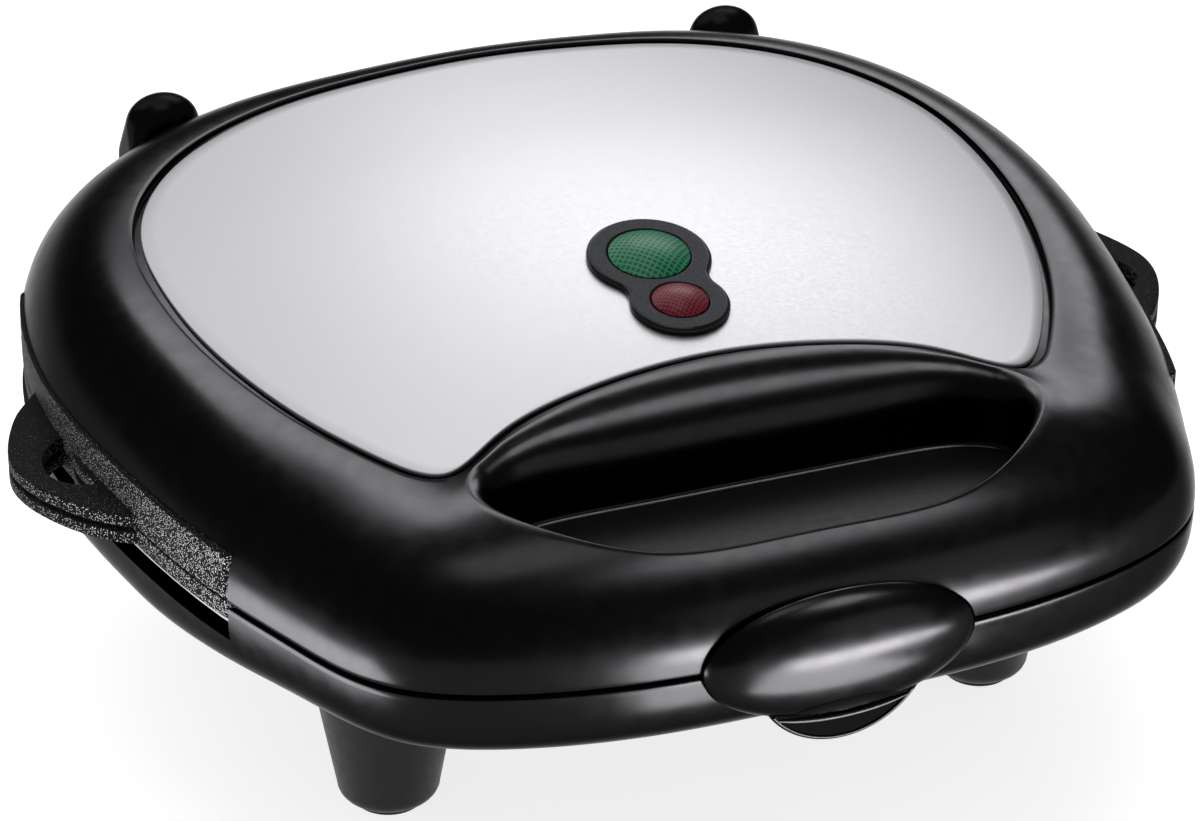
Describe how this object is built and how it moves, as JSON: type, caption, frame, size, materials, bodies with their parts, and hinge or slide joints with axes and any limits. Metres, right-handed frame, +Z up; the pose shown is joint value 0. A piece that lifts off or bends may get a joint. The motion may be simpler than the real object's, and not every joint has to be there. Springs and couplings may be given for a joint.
{
  "type": "sandwich toaster",
  "caption": "Countertop sandwich toaster with a domed hinged lid, steel top panel, indicator lamps, cast plates with side tabs, a hanging front latch and tapered feet.",
  "frame": {"origin": "under the middle of the closed toaster's bounding box, on the table plane", "axes": "+X to the toaster's right seen from the front, +Y from the latch to the hinges, +Z up"},
  "size_m": [0.273, 0.2508, 0.1085],
  "materials": {
    "body_plastic": "gloss",
    "cover_plastic": "satin",
    "pad_rubber": "matte",
    "bright_steel": "plated",
    "reflector_sheet": "bright rolled",
    "rod_sheath": "heat-tinted",
    "ceramic": "unglazed ceramic",
    "fuse_case": "satin",
    "lead_sleeve": "woven sleeve",
    "plate_coating": "speckled non-stick coating",
    "top_steel": "fine brushed",
    "bezel_plastic": "gloss",
    "green_glass": "prismatic",
    "red_glass": "prismatic",
    "lamp_glass": "clear"
  },
  "bodies": {
    "base": {"base_shell": "body_plastic", "bottom_cover": "cover_plastic", "front_left_foot": "cover_plastic", "front_right_foot": "cover_plastic", "rear_left_foot": "cover_plastic", "rear_right_foot": "cover_plastic", "foot_pads": "pad_rubber", "foot_screws": "bright_steel", "cover_screws": "bright_steel", "cord_bush": "cover_plastic", "terminal_block": "ceramic", "thermostat": "bright_steel", "thermal_fuse": "fuse_case", "base_wires": "lead_sleeve", "lower_reflector": "reflector_sheet", "lower_heating_rod": "rod_sheath", "lower_rod_brackets": "bright_steel", "lower_rod_bushings": "ceramic", "lower_plate": "plate_coating", "lower_plate_clips": "bright_steel", "latch_catch": "bright_steel", "base_hinge_left": "body_plastic", "base_hinge_right": "body_plastic", "hinge_pins": "bright_steel", "base_hinge_screws": "bright_steel", "lower_reflector_screws": "bright_steel"},
    "lid": {"lid_shell": "body_plastic", "steel_panel": "top_steel", "lamp_bezel": "bezel_plastic", "green_lens": "green_glass", "red_lens": "red_glass", "lamp_holder": "ceramic", "neon_lamps": "lamp_glass", "upper_plate": "plate_coating", "upper_plate_clips": "bright_steel", "upper_reflector": "reflector_sheet", "upper_heating_rod": "rod_sheath", "upper_rod_brackets": "bright_steel", "upper_rod_bushings": "ceramic", "lid_wires": "lead_sleeve", "hinge_arm_left": "body_plastic", "hinge_arm_right": "body_plastic", "latch_bracket": "cover_plastic", "latch_pin": "bright_steel", "latch_spring": "bright_steel", "upper_reflector_screws": "bright_steel", "hinge_arm_screws": "bright_steel"},
    "latch": {"latch_lever": "body_plastic", "latch_grip": "body_plastic"}
  },
  "joints": [
    {"name": "lid_hinge", "type": "hinge", "parent": "base", "child": "lid", "pos_m": [0, 0.1169, 0.07], "axis": [-1, 0, 0], "range_deg": [0, 100]},
    {"name": "latch_pivot", "type": "hinge", "parent": "lid", "child": "latch", "pos_m": [0, -0.1091, 0.0695], "axis": [-1, 0, 0], "range_deg": [0, 25], "stiffness_Nm_per_rad": 0.02, "springref_deg": -11.46}
  ]
}
